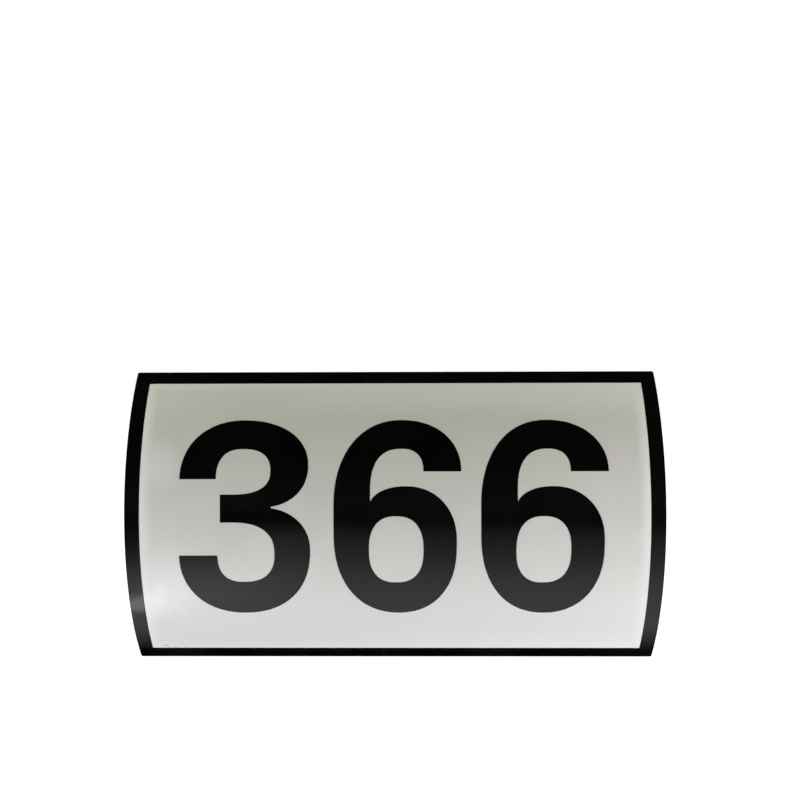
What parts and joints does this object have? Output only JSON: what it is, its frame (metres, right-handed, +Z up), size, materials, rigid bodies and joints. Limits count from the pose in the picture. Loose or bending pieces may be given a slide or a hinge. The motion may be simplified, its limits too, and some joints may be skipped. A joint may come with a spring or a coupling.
{
  "type": "pole number plate",
  "caption": "Curved aluminium number plate with reflective face, black border and figures, rolled to seat on a pole and slotted for bands.",
  "frame": {"origin": "middle of the back face, where the crown of the hollow touches the pole", "axes": "+X along the number as it is read, +Y out of the hollow back towards the pole's axis, +Z up across the number; the front faces -Y"},
  "size_m": [0.4, 0.0412, 0.2232],
  "materials": {
    "mill_aluminium": "mill finish, rolled, lightly scuffed",
    "reflective_sheeting": "silver-white glass-bead sheeting, satin",
    "black_film": "black cut film, glossy"
  },
  "bodies": {
    "root": {"base_plate": "mill_aluminium", "reflective_film": "reflective_sheeting", "black_border": "black_film", "digit_hundreds": "black_film", "digit_tens": "black_film", "digit_units": "black_film"}
  },
  "joints": []
}
